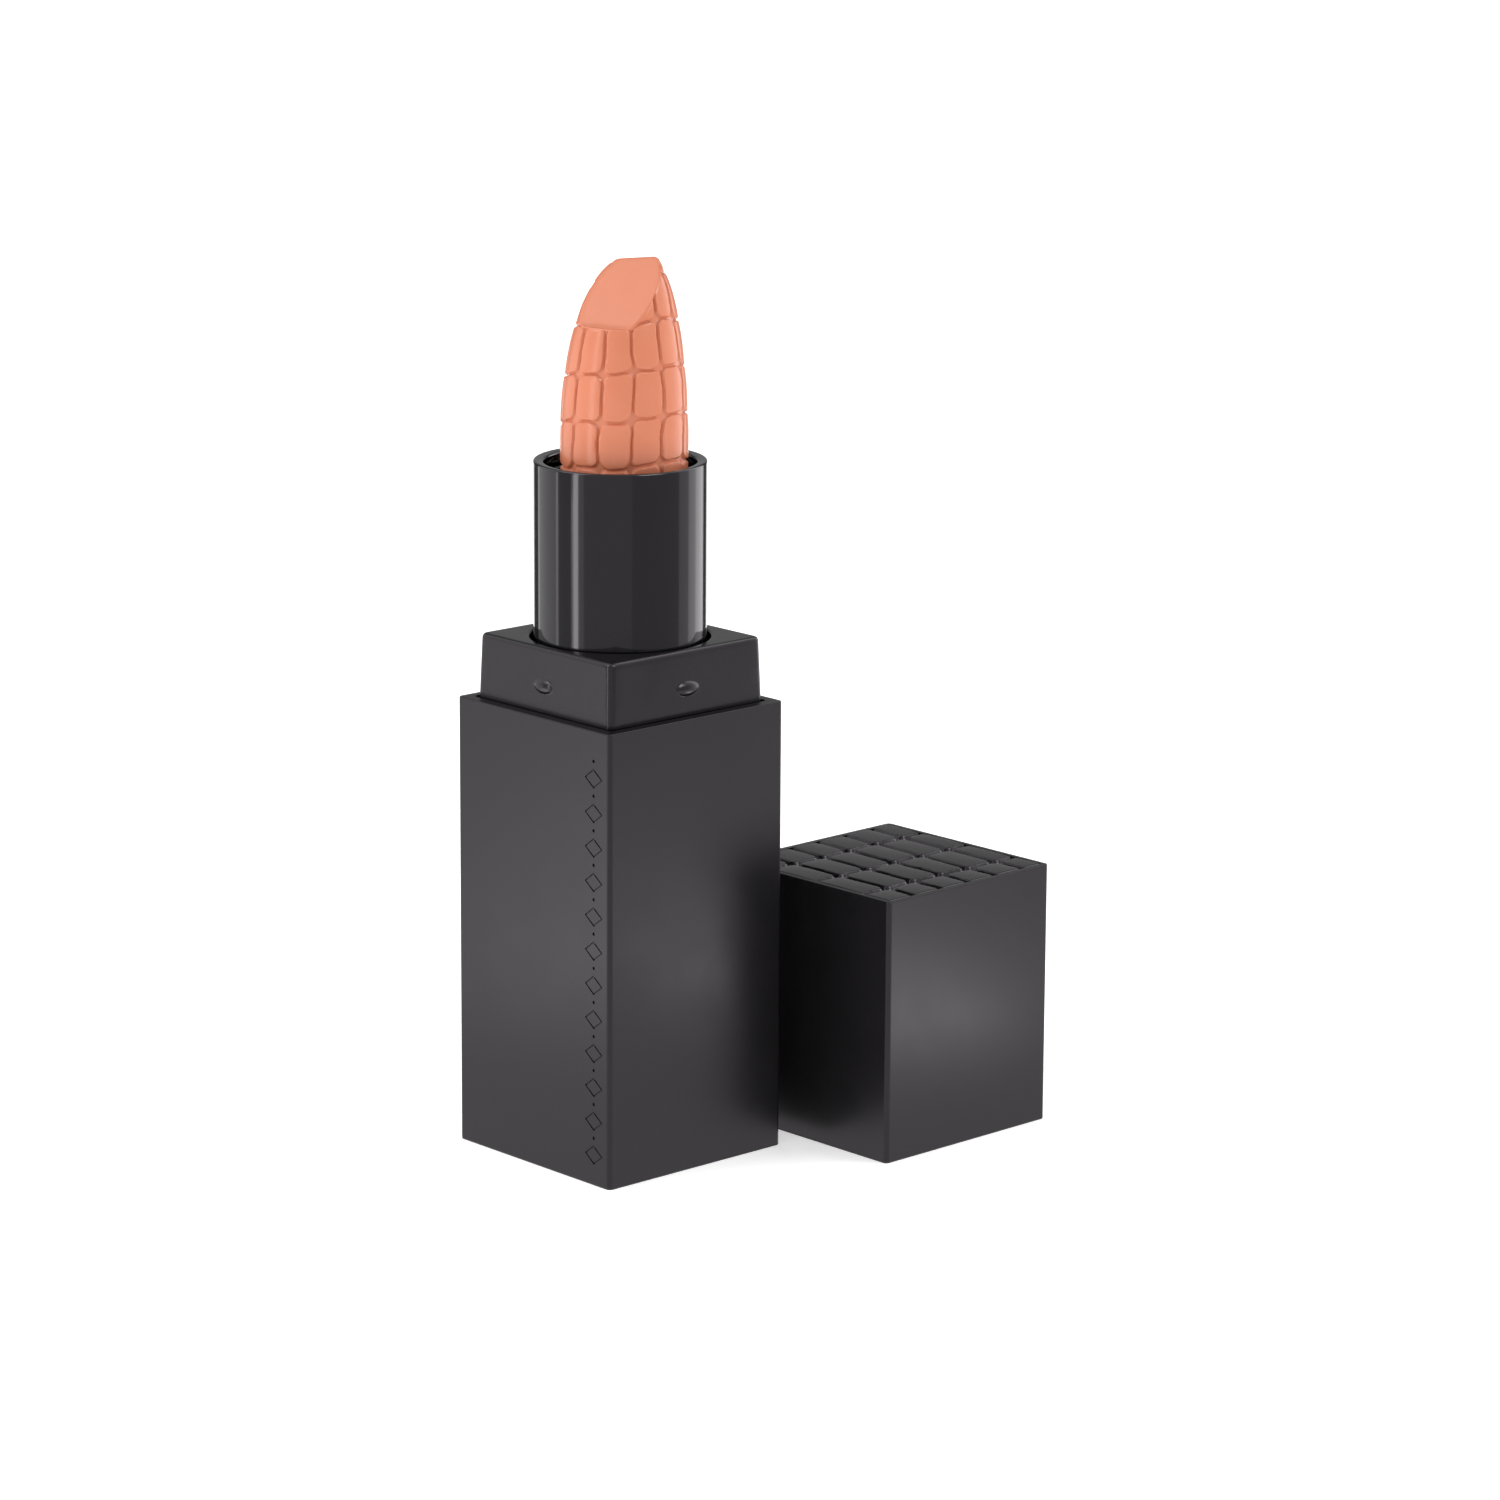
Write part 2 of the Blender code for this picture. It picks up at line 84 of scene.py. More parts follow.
# Case walls and edges
CASE_CORNER = 0.45 * MM
CASE_EDGE = 0.12 * MM
BASE_WALL = 1.05 * MM
BASE_FLOOR = 1.3 * MM
CAP_WALL = 0.55 * MM
CAP_RIM = 0.5 * MM
CAP_DECK = 1.0 * MM
CAP_TURN = math.radians(0.93)
PANEL_GAP = 0.1 * MM
LABEL_GAP = 0.15 * MM

# Collar
COLLAR_FOOT_HALF = 9.625 * MM
COLLAR_TOP_HALF = 9.425 * MM
COLLAR_SKIRT_HALF = 9.775 * MM
COLLAR_CORNER = 0.7 * MM
COLLAR_EDGE = 0.45 * MM
COLLAR_BORE = 8.55 * MM
BORE_EDGE = 0.25 * MM
BUMP_HALF_WIDTH = 1.35 * MM
BUMP_HALF_HEIGHT = 0.68 * MM
BUMP_DEPTH = 0.34 * MM
BUMP_LEVEL = 2.55 * MM

# Tube
TUBE_BORE = 7.7 * MM
MOUTH_RADIUS = 7.2 * MM
LIP_THICKNESS = 0.8 * MM
RIM_FILLET = 0.22 * MM
RIM_SLOPE = 0.10 * MM
GUIDE_INNER = 6.5 * MM
GUIDE_OUTER = 7.05 * MM
RING_LEVEL = 61.2 * MM
RING_GROOVE = 6.85 * MM
SLOT_WIDTH = 2.04 * MM
SLOT_LEVELS = (31.86 * MM, 56.14 * MM)

# Bullet: a leaning elliptical dome, a slanted facet and a low slope behind its crest
SHANK_RADIUS = 5.75 * MM
BULLET_RADIUS = 5.95 * MM
BULLET_AXIS = (0.24 * MM, 0.28 * MM)
BULLET_LEAN = (0.53 * MM, 0.60 * MM)
DOME_APEX = 87.35 * MM
DOME_HEIGHT = 18.87 * MM
DOME_FOOT = DOME_APEX - DOME_HEIGHT
BULLET_SHOULDER = CUP_TOP + 0.3 * MM
FACET = (math.radians(-73.0), math.radians(49.0), 84.22 * MM)
CREST = (math.radians(138.8), math.radians(14.0), 85.95 * MM)

# Scales pressed into the bullet and the cap's panel
BULLET_COLUMNS = 12
BULLET_COLUMN_SHIFT = 0.15
BULLET_ROW = 4.4 * MM
BULLET_FIRST_ROW = 66.45 * MM
ROW_PEAK = math.radians(-6.0)
SMOOTH_AZIMUTH = math.radians(-73.0)
SMOOTH_REACH = 0.60
SMOOTH_LEVEL = 79.75 * MM
PANEL_TILE = (6.3 * MM, 3.7 * MM)
PANEL_JOINT = (0.5 * MM, -7.1 * MM)

# Studio
CAMERA_AZIMUTH = math.radians(48.82)
CAMERA_ELEVATION = math.radians(12.23)
CAMERA_DISTANCE = 513.2 * MM
CARD_DISTANCE = 0.24


# ---------------------------------------------------------------- small helpers

def node(tree, kind, inputs=None, **settings):
    """Add a node, set its properties, and set or link its inputs by name or number."""
    made = tree.nodes.new(kind)
    for name, value in settings.items():
        setattr(made, name, value)
    for key, value in (inputs or {}).items():
        if isinstance(value, bpy.types.NodeSocket):
            tree.links.new(value, made.inputs[key])
        else:
            made.inputs[key].default_value = value
    return made


def linear(hex_colour):
    """An sRGB hex colour as linear RGBA."""
    channels = [int(hex_colour[i:i + 2], 16) / 255 for i in (1, 3, 5)]
    return [c / 12.92 if c <= 0.04045 else ((c + 0.055) / 1.055) ** 2.4 for c in channels] + [1.0]


def shape_tree(name, sizes):
    """An empty Geometry Nodes tree with named inputs; returns it and its input sockets."""
    tree = bpy.data.node_groups.new(name, "GeometryNodeTree")
    tree.interface.new_socket("Geometry", in_out="INPUT", socket_type="NodeSocketGeometry")
    for size, kind in sizes.items():
        tree.interface.new_socket(size, in_out="INPUT", socket_type=f"NodeSocket{kind}")
    tree.interface.new_socket("Material", in_out="INPUT", socket_type="NodeSocketMaterial")
    tree.interface.new_socket("Geometry", in_out="OUTPUT", socket_type="NodeSocketGeometry")
    return tree, node(tree, "NodeGroupInput").outputs


def finish_tree(tree, shape, material):
    """End a tree with Realize Instances and Set Material."""
    plain = node(tree, "GeometryNodeRealizeInstances", {"Geometry": shape})
    painted = node(tree, "GeometryNodeSetMaterial",
                   {"Geometry": plain.outputs[0], "Material": material})
    node(tree, "NodeGroupOutput", {0: painted.outputs[0]})
    return tree


def grow(host, tree, values):
    """Run a tree on an object, keep the result as its plain mesh, and drop the modifier."""
    modifier = host.modifiers.new(tree.name, "NODES")
    modifier.node_group = tree
    for item in tree.interface.items_tree:
        if item.in_out == "INPUT" and item.name in values:
            modifier[item.identifier] = values[item.name]
    graph = bpy.context.evaluated_depsgraph_get()
    mesh = bpy.data.meshes.new_from_object(host.evaluated_get(graph))
    host.modifiers.remove(modifier)
    host.data = mesh
    return host


def add_object(name, mesh):
    """Put a mesh into the scene as an object at the origin."""
    piece = bpy.data.objects.new(name, mesh)
    bpy.context.scene.collection.objects.link(piece)
    return piece


def smooth(mesh):
    """Shade a mesh smooth, and keep its real edges sharp."""
    mesh.shade_smooth()
    mesh.set_sharp_from_angle(angle=SHARP_ANGLE)


def as_mesh(name, solid):
    """Turn a bmesh into a mesh and free it."""
    mesh = bpy.data.meshes.new(name)
    solid.to_mesh(mesh)
    solid.free()
    return mesh


def face_out(mesh):
    """Turn a closed mesh's faces outwards."""
    solid = bmesh.new()
    solid.from_mesh(mesh)
    bmesh.ops.recalc_face_normals(solid, faces=solid.faces)
    solid.to_mesh(mesh)
    solid.free()


def add_solid(name, solid, material, place=None):
    """Turn a bmesh into a named object with its faces out and its edges crisp."""
    bmesh.ops.recalc_face_normals(solid, faces=solid.faces)
    mesh = as_mesh(name, solid)
    if place:
        mesh.transform(place)
    smooth(mesh)
    mesh.materials.append(material)
    piece = add_object(name, mesh)
    weighted = piece.modifiers.new("even_shading", "WEIGHTED_NORMAL")
    weighted.keep_sharp = True
    return piece


def rounded_square(half, corner, level, stations=()):
    """A square ring with round corners, and extra points along each side at the stations."""
    points = []
    for quarter in range(4):
        turn = Matrix.Rotation(quarter * math.pi / 2, 3, "Z")
        side = [Vector((half, station, level)) for station in stations]
        centre = Vector((half - corner, half - corner, level))
        for step in range(CORNER_STEPS + 1):
            angle = step / CORNER_STEPS * math.pi / 2
            side.append(centre + Vector((math.cos(angle), math.sin(angle), 0)) * corner)
        points += [turn @ point for point in side]
    return points


def round_ring(radius, level, like):
    """A circle whose points lie in the same directions as those of another ring."""
    return [Vector((p.x, p.y, 0)).normalized() * radius + UP * level for p in like]


def loft(rings, closed=False):
    """A solid through equal rings; its ends are capped, or meet each other when closed."""
    solid = bmesh.new()
    rows = [[solid.verts.new(point) for point in ring] for ring in rings]
    pairs = list(zip(rows, rows[1:])) + ([(rows[-1], rows[0])] if closed else [])
    for lower, upper in pairs:
        for i in range(len(lower)):
            j = (i + 1) % len(lower)
            solid.faces.new((lower[i], lower[j], upper[j], upper[i]))
    if not closed:
        solid.faces.new(reversed(rows[0]))
        solid.faces.new(rows[-1])
    return solid


def arc(centre, radius, start, end, steps=FILLET_STEPS):
    """Points of a fillet as (across, level), between two angles in degrees."""
    angles = [math.radians(start + (end - start) * i / steps) for i in range(steps + 1)]
    return [(centre[0] + radius * math.cos(a), centre[1] + radius * math.sin(a))
            for a in angles]


# ---------------------------------------------------------------- materials

COOL_BLACK = (1.0, 0.92, 1.0, 1.0)


def plastic_base(name, dark, light, roughness, grain, depth, cloud=6 * MM, spread=0.05,
                 values=None):
    """A shader with cloudy colour and gloss, and a fine moulded grain in its bump.

    grain and cloud are real sizes; depth is the height of the grain.
    """
    material = bpy.data.materials.new(name)
    material.use_nodes = True
    tree = material.node_tree
    shader = tree.nodes["Principled BSDF"]
    place = node(tree, "ShaderNodeTexCoord").outputs["Object"]
    clouds = node(tree, "ShaderNodeTexNoise",
                  {"Vector": place, "Scale": 1 / cloud, "Detail": 4.0, "Roughness": 0.55})
    tint = node(tree, "ShaderNodeMix", {"Factor": clouds.outputs["Fac"], 6: linear(dark),
                                        7: linear(light)}, data_type="RGBA")
    gloss = node(tree, "ShaderNodeMapRange", {
        "Value": clouds.outputs["Fac"], "From Min": 0.3, "From Max": 0.7,
        "To Min": roughness - spread, "To Max": roughness + spread})
    grains = node(tree, "ShaderNodeTexNoise",
                  {"Vector": place, "Scale": 1 / grain, "Detail": 2.0})
    bump = node(tree, "ShaderNodeBump", {"Height": grains.outputs["Fac"],
                                         "Strength": 1.0, "Distance": depth})
    tree.links.new(tint.outputs[2], shader.inputs["Base Color"])
    tree.links.new(gloss.outputs["Result"], shader.inputs["Roughness"])
    tree.links.new(bump.outputs["Normal"], shader.inputs["Normal"])
    for socket, value in (values or {}).items():
        shader.inputs[socket].default_value = value
    return material


def satin_abs():
    """ABS with a satin lacquer: soft wide highlights that make the black read as grey."""
    return plastic_base("satin_black_abs", "#0c0c0d", "#111012", 0.32, 0.30 * MM, 0.0010 * MM,
                        spread=0.03,
                        values={"IOR": 1.5, "Specular Tint": COOL_BLACK})


def moulded_abs():
    """ABS straight from a polished mould: tighter highlights than the case."""
    return plastic_base("moulded_black_abs", "#0c0b0d", "#111012", 0.22, 0.25 * MM,
                        0.0012 * MM, spread=0.04,
                        values={"IOR": 1.53, "Specular Tint": COOL_BLACK})


def piano_lacquer():
    """Black lacquer over plastic: mirror-sharp highlights with a faint waviness."""
    return plastic_base("gloss_black_lacquer", "#0a090b", "#0d0c0e", 0.10, 2.5 * MM,
                        0.0015 * MM, spread=0.02,
                        values={"IOR": 1.5, "Specular Tint": COOL_BLACK,
                                "Coat Weight": 0.3, "Coat Roughness": 0.03})


def embossed_abs():
    """Hot-pressed ABS: satin on the scales, with a slight sheen where the press touched."""
    return plastic_base("embossed_black_abs", "#0b0b0c", "#100f11", 0.24, 0.35 * MM,
                        0.0015 * MM, cloud=2.5 * MM, spread=0.02,
                        values={"IOR": 1.52, "Specular Tint": COOL_BLACK})


def lipstick_wax():
    """Creamy wax and pigment: light enters it a little, and the skin is satin."""
    return plastic_base("peach_lipstick_wax", "#c47456", "#ca7c5e", 0.24, 0.8 * MM,
                        0.004 * MM, cloud=3 * MM, spread=0.02,
                        values={"IOR": 1.46, "Subsurface Weight": 0.15,
                                "Subsurface Radius": (0.5 * MM, 0.2 * MM, 0.12 * MM),
                                "Subsurface Scale": 1.0})


def dark_inner_plastic():
    """Polypropylene inner part, dull and slightly waxy."""
    return plastic_base("inner_black_polypropylene", "#141315", "#1a191b", 0.42, 0.2 * MM,
                        0.003 * MM, values={"IOR": 1.49})


def natural_acetal():
    """Undyed acetal of the sleeve: milky, with a low gloss."""
    return plastic_base("natural_acetal", "#d8d3c4", "#e2ded0", 0.38, 0.3 * MM, 0.002 * MM,
                        values={"IOR": 1.48})


def silicone_rubber():
    """Moulded silicone of the friction ring: matte and faintly dusty."""
    return plastic_base("black_silicone", "#1b1b1c", "#232324", 0.72, 0.08 * MM, 0.003 * MM,
                        values={"IOR": 1.41})


def bright_steel():
    """Turned and tumbled steel of the weight."""
    return plastic_base("tumbled_steel", "#9a9a9c", "#b2b2b4", 0.34, 0.15 * MM, 0.003 * MM,
                        values={"Metallic": 1.0})


def label_film():
    """Metallised silver film with no print: a soft, even sheen."""
    return plastic_base("silver_label_film", "#a9a9ac", "#c4c4c7", 0.34, 0.1 * MM,
                        0.001 * MM, values={"Metallic": 0.6})


# ---------------------------------------------------------------- geometry trees

def turned_tree():
    """Sweep a profile, drawn as edges in the XZ plane, round the Z axis."""
    tree, given = shape_tree("turned_piece", {"Radius": "Float", "Steps": "Int"})
    drawn = node(tree, "ShaderNodeSeparateXYZ",
                 {0: node(tree, "GeometryNodeInputPosition").outputs[0]})
    across = node(tree, "ShaderNodeMath", {0: drawn.outputs["X"], 1: given["Radius"]},
                  operation="SUBTRACT")
    down = node(tree, "ShaderNodeMath", {0: drawn.outputs["Z"], 1: -1.0}, operation="MULTIPLY")
    flat = node(tree, "ShaderNodeCombineXYZ", {"X": across.outputs[0], "Y": down.outputs[0]})
    outline = node(tree, "GeometryNodeMeshToCurve", {"Mesh": given["Geometry"]})
    laid = node(tree, "GeometryNodeSetPosition",
                {"Geometry": outline.outputs[0], "Position": flat.outputs[0]})
    path = node(tree, "GeometryNodeCurvePrimitiveCircle",
                {"Resolution": given["Steps"], "Radius": given["Radius"]})
    skin = node(tree, "GeometryNodeCurveToMesh",
                {"Curve": path.outputs[0], "Profile Curve": laid.outputs[0]})
    return finish_tree(tree, skin.outputs[0], given["Material"])


def emboss_tree():
    """Press a grid of pillowed scales into a surface that carries column and row numbers."""
    tree, given = shape_tree("pressed_scales", {
        "Tile Width": "Float", "Tile Height": "Float", "Groove": "Float", "Shoulder": "Float",
        "Corner": "Float", "Depth": "Float", "Crown": "Float", "Unevenness": "Float",
        "Waviness": "Float", "Wave Size": "Float", "Seed": "Int"})
    place = node(tree, "GeometryNodeInputPosition").outputs[0]
    wave_scale = node(tree, "ShaderNodeMath", {0: 1.0, 1: given["Wave Size"]},
                      operation="DIVIDE")
    waves = node(tree, "ShaderNodeTexNoise", {
        "Vector": place, "W": given["Seed"], "Scale": wave_scale.outputs[0], "Detail": 1.0},
        noise_dimensions="4D")
    shifts = node(tree, "ShaderNodeSeparateXYZ", {0: waves.outputs["Color"]})
    narrowing = node(tree, "GeometryNodeInputNamedAttribute", {"Name": "narrowing"},
                     data_type="FLOAT")

    insets, parts, numbers = [], [], []
    for axis, size, channel in (("column", "Tile Width", "X"), ("row", "Tile Height", "Y")):
        number = node(tree, "GeometryNodeInputNamedAttribute", {"Name": axis},
                      data_type="FLOAT")
        shift = node(tree, "ShaderNodeMath", {0: shifts.outputs[channel], 1: 0.5},
                     operation="SUBTRACT")
        waved = node(tree, "ShaderNodeMath", {
            0: shift.outputs[0], 1: given["Waviness"], 2: number.outputs["Attribute"]},
            operation="MULTIPLY_ADD")
        part = node(tree, "ShaderNodeMath", {0: waved.outputs[0]}, operation="FRACT")
        rest = node(tree, "ShaderNodeMath", {0: 1.0, 1: part.outputs[0]}, operation="SUBTRACT")
        nearest = node(tree, "ShaderNodeMath", {0: part.outputs[0], 1: rest.outputs[0]},
                       operation="MINIMUM")
        inset = node(tree, "ShaderNodeMath", {0: nearest.outputs[0], 1: given[size]},
                     operation="MULTIPLY")
        swell = node(tree, "ShaderNodeMath", {0: part.outputs[0], 1: rest.outputs[0]},
                     operation="MULTIPLY")
        whole = node(tree, "ShaderNodeMath", {0: waved.outputs[0]}, operation="FLOOR")
        insets.append(inset.outputs[0])
        parts.append(swell.outputs[0])
        numbers.append(whole.outputs[0])
    narrowed = node(tree, "ShaderNodeMath", {0: insets[0], 1: narrowing.outputs["Attribute"]},
                    operation="MULTIPLY")
    insets[0] = narrowed.outputs[0]

    corners = []
    for inset in insets:
        short = node(tree, "ShaderNodeMath", {0: given["Corner"], 1: inset},
                     operation="SUBTRACT")
        short = node(tree, "ShaderNodeMath", {0: short.outputs[0], 1: 0.0},
                     operation="MAXIMUM")
        squared = node(tree, "ShaderNodeMath", {0: short.outputs[0], 1: 2.0}, operation="POWER")
        corners.append(squared.outputs[0])
    total = node(tree, "ShaderNodeMath", {0: corners[0], 1: corners[1]}, operation="ADD")
    reach = node(tree, "ShaderNodeMath", {0: total.outputs[0]}, operation="SQRT")
    inside = node(tree, "ShaderNodeMath", {0: given["Corner"], 1: reach.outputs[0]},
                  operation="SUBTRACT")
    shoulder_end = node(tree, "ShaderNodeMath", {0: given["Groove"], 1: given["Shoulder"]},
                        operation="ADD")
    plateau = node(tree, "ShaderNodeMapRange", {
        "Value": inside.outputs[0], "From Min": given["Groove"],
        "From Max": shoulder_end.outputs[0]}, interpolation_type="SMOOTHSTEP")

    pillow = node(tree, "ShaderNodeMath", {0: parts[0], 1: parts[1]}, operation="MULTIPLY")
    pillow = node(tree, "ShaderNodeMath", {0: pillow.outputs[0], 1: 0.5}, operation="POWER")
    pillow = node(tree, "ShaderNodeMath", {0: pillow.outputs[0], 1: 4.0}, operation="MULTIPLY")
    crown = node(tree, "ShaderNodeMath", {0: pillow.outputs[0], 1: given["Crown"]},
                 operation="MULTIPLY")
    tile = node(tree, "ShaderNodeCombineXYZ", {"X": numbers[0], "Y": numbers[1],
                                               "Z": given["Seed"]})
    luck = node(tree, "ShaderNodeTexWhiteNoise", {"Vector": tile.outputs[0]})
    uneven = node(tree, "ShaderNodeMath", {
        0: luck.outputs["Value"], 1: given["Unevenness"], 2: crown.outputs[0]},
        operation="MULTIPLY_ADD")
    raised = node(tree, "ShaderNodeMath", {0: uneven.outputs[0], 1: plateau.outputs["Result"]},
                  operation="MULTIPLY")
    sunk = node(tree, "ShaderNodeMath", {0: plateau.outputs["Result"], 1: 1.0},
                operation="SUBTRACT")
    height = node(tree, "ShaderNodeMath", {
        0: sunk.outputs[0], 1: given["Depth"], 2: raised.outputs[0]},
        operation="MULTIPLY_ADD")
    pressed = node(tree, "GeometryNodeInputNamedAttribute", {"Name": "pressed"},
                   data_type="FLOAT")
    height = node(tree, "ShaderNodeMath", {0: height.outputs[0],
                                           1: pressed.outputs["Attribute"]},
                  operation="MULTIPLY")
    outward = node(tree, "GeometryNodeInputNamedAttribute", {"Name": "outward"},
                   data_type="FLOAT_VECTOR")
    offset = node(tree, "ShaderNodeVectorMath", {
        0: outward.outputs["Attribute"], "Scale": height.outputs[0]}, operation="SCALE")
    moved = node(tree, "GeometryNodeSetPosition",
                 {"Geometry": given["Geometry"], "Offset": offset.outputs[0]})
    return finish_tree(tree, moved.outputs[0], given["Material"])


def ornament_tree():
    """A column of engraving tools: open lozenges, with a small bead between each pair."""
    tree, given = shape_tree("engraved_column", {
        "Count": "Int", "Pitch": "Float", "Width": "Float", "Half Height": "Float",
        "Line": "Float", "Depth": "Float", "Bead": "Float"})
    half_pitch = node(tree, "ShaderNodeMath", {0: given["Pitch"], 1: 0.5},
                      operation="MULTIPLY")
    lozenge = node(tree, "GeometryNodeCurvePrimitiveQuadrilateral",
                   {"Width": given["Width"], "Bottom Height": given["Half Height"],
                    "Top Height": given["Half Height"]}, mode="KITE")
    bar = node(tree, "GeometryNodeCurvePrimitiveQuadrilateral",
               {"Width": given["Line"], "Height": given["Depth"]}, mode="RECTANGLE")
    frame_line = node(tree, "GeometryNodeCurveToMesh",
                      {"Curve": lozenge.outputs[0], "Profile Curve": bar.outputs[0]})
    bead = node(tree, "GeometryNodeMeshCylinder", {
        "Vertices": 16, "Radius": given["Bead"], "Depth": given["Depth"]})
    columns = []
    for shape, start in ((frame_line.outputs[0], None), (bead.outputs[0], half_pitch)):
        first = node(tree, "ShaderNodeCombineXYZ",
                     {"Y": start.outputs[0]} if start else {})
        step = node(tree, "ShaderNodeCombineXYZ", {"Y": given["Pitch"]})
        line = node(tree, "GeometryNodeMeshLine", {
            "Count": given["Count"], "Start Location": first.outputs[0],
            "Offset": step.outputs[0]})
        placed = node(tree, "GeometryNodeInstanceOnPoints",
                      {"Points": line.outputs[0], "Instance": shape})
        columns.append(placed.outputs[0])
    both = node(tree, "GeometryNodeJoinGeometry")
    for column in columns:
        tree.links.new(column, both.inputs[0])
    return finish_tree(tree, both.outputs[0], given["Material"])


# ---------------------------------------------------------------- pieces

def add_turned(name, profile, material):
    """A round piece from the closed profile of its wall, as (radius, level) points."""
    mesh = bpy.data.meshes.new(name)
    edges = [(i, (i + 1) % len(profile)) for i in range(len(profile))]
    mesh.from_pydata([(across, 0, level) for across, level in profile], edges, [])
    piece = grow(add_object(name, mesh), TURNED, {
        "Radius": profile[0][0], "Steps": TURN_STEPS, "Material": material})
    face_out(piece.data)
    smooth(piece.data)
    return piece


def cut(piece, tool):
    """Cut a tool from a piece's own mesh; its other modifiers stay live."""
    others = list(piece.modifiers)
    modifier = piece.modifiers.new("cut", "BOOLEAN")
    modifier.operation = "DIFFERENCE"
    modifier.solver = "EXACT"
    modifier.object = tool
    for other in others:
        other.show_viewport = False
    graph = bpy.context.evaluated_depsgraph_get()
    mesh = bpy.data.meshes.new_from_object(piece.evaluated_get(graph))
    for other in others:
        other.show_viewport = True
    piece.modifiers.remove(modifier)
    piece.data = mesh
    smooth(mesh)
    bpy.data.objects.remove(tool)


def square_rings(profile, corner=CASE_CORNER):
    """Rings from (half width, level) points; narrower rings get tighter corners."""
    widest = max(half for half, level in profile)
    return [rounded_square(half, max(corner - (widest - half), 0.15 * MM), level)
            for half, level in profile]


def make_base_case(material):
    """The square case: round label recess below and open above; engrave_case cuts its engraved
    column.
    """
    edge = CASE_EDGE
    inner = CASE_HALF - BASE_WALL
    top_arc = arc((CASE_HALF - edge, BASE_TOP - edge), edge, 0, 90, 3)
    low_arc = arc((CASE_HALF - edge, edge), edge, -90, 0, 3)
    outside = square_rings(low_arc + top_arc)
    cavity = square_rings([(inner, BASE_TOP), (inner, BASE_FLOOR)], 0.5 * MM)
    recess = LABEL_TOP + LABEL_GAP
    underside = [round_ring(LABEL_RADIUS + LABEL_GAP, level, outside[0])
                 for level in (recess, 0.0)]
    return add_solid("base_case", loft(underside + outside + cavity), material)


def engrave_case(case):
    """Sink the plain ornament near the front edge of the case's -Y side."""
    pitch = 3.3 * MM
    inset = 2.2 * MM
    first_level = 3.0 * MM
    host = add_object("engraving_tool", bpy.data.meshes.new("engraving_tool"))
    tool = grow(host, ornament_tree(), {
        "Count": 12, "Pitch": pitch, "Width": 2.3 * MM, "Half Height": 0.85 * MM,
        "Line": 0.2 * MM, "Depth": 0.24 * MM, "Bead": 0.17 * MM})
    upright = Matrix.Rotation(math.pi / 2, 4, "X")
    place = Matrix.Translation((CASE_HALF - inset, -CASE_HALF, first_level))
    tool.data.transform(place @ upright)
    face_out(tool.data)
    cut(case, tool)


def bump_rise(station, level):
    """How far a snap bump stands out of the collar's side."""
    spot = (station / BUMP_HALF_WIDTH) ** 2 + ((level - BUMP_LEVEL) / BUMP_HALF_HEIGHT) ** 2
    return BUMP_DEPTH * max(0.0, 1 - spot) ** 0.65


def make_collar(material):
    """The tapered snap collar, with its bumps worked into a fine mesh of each side."""
    fine = np.linspace(-1.6, 1.6, 33) * MM
    coarse = np.linspace(2.4, 8.0, 8) * MM
    stations = sorted([*fine, *coarse, *-coarse])
    height = COLLAR_TOP - BASE_TOP
    lean = (COLLAR_FOOT_HALF - COLLAR_TOP_HALF) / height
    rings = [
        rounded_square(COLLAR_SKIRT_HALF, COLLAR_CORNER, COLLAR_FOOT, stations),
        rounded_square(COLLAR_SKIRT_HALF, COLLAR_CORNER, BASE_TOP - 1.5 * MM, stations),
        rounded_square(COLLAR_FOOT_HALF, COLLAR_CORNER, BASE_TOP - 1.3 * MM, stations),
    ]
    spread = BUMP_HALF_HEIGHT * 1.15
    levels = [0.0, *np.linspace(BUMP_LEVEL - spread, BUMP_LEVEL + spread, 21),
              height - COLLAR_EDGE - 0.3 * MM]
    for level in levels:
        half = COLLAR_FOOT_HALF - lean * level
        ring = rounded_square(half, COLLAR_CORNER, BASE_TOP + level, stations)
        per_side = len(ring) // 4
        for i, point in enumerate(ring):
            side, spot = divmod(i, per_side)
            if spot < len(stations):
                turn = Matrix.Rotation(side * math.pi / 2, 3, "Z")
                point += turn @ Vector((bump_rise(stations[spot], level), 0, 0))
        rings.append(ring)
    centre = (COLLAR_TOP_HALF + lean * COLLAR_EDGE - COLLAR_EDGE, COLLAR_TOP - COLLAR_EDGE)
    for half, level in arc(centre, COLLAR_EDGE, 0, 90):
        corner = COLLAR_CORNER - (COLLAR_TOP_HALF - half) * 0.9
        rings.append(rounded_square(half, corner, level, stations))
    bore_arc = arc((COLLAR_BORE + BORE_EDGE, COLLAR_TOP - BORE_EDGE), BORE_EDGE, 90, 180, 4)
    for radius, level in bore_arc + [(COLLAR_BORE, COLLAR_FOOT)]:
        rings.append(round_ring(radius, level, rings[0]))
    return add_solid("snap_collar", loft(rings, closed=True), material)


def make_tube(material):
    """The lacquered tube, with a lip turned in at its mouth."""
    lip = RIM - LIP_THICKNESS
    profile = [(TUBE_BORE, TUBE_FOOT), (TUBE_RADIUS, TUBE_FOOT)]
    profile += arc((TUBE_RADIUS - RIM_FILLET, RIM - RIM_FILLET), RIM_FILLET, 0, 90)
    inner = RIM - RIM_SLOPE - RIM_FILLET
    profile += arc((MOUTH_RADIUS + RIM_FILLET, inner), RIM_FILLET, 90, 180)
    profile += [(MOUTH_RADIUS, lip), (TUBE_BORE, lip)]
    return add_turned("swivel_tube", profile, material)


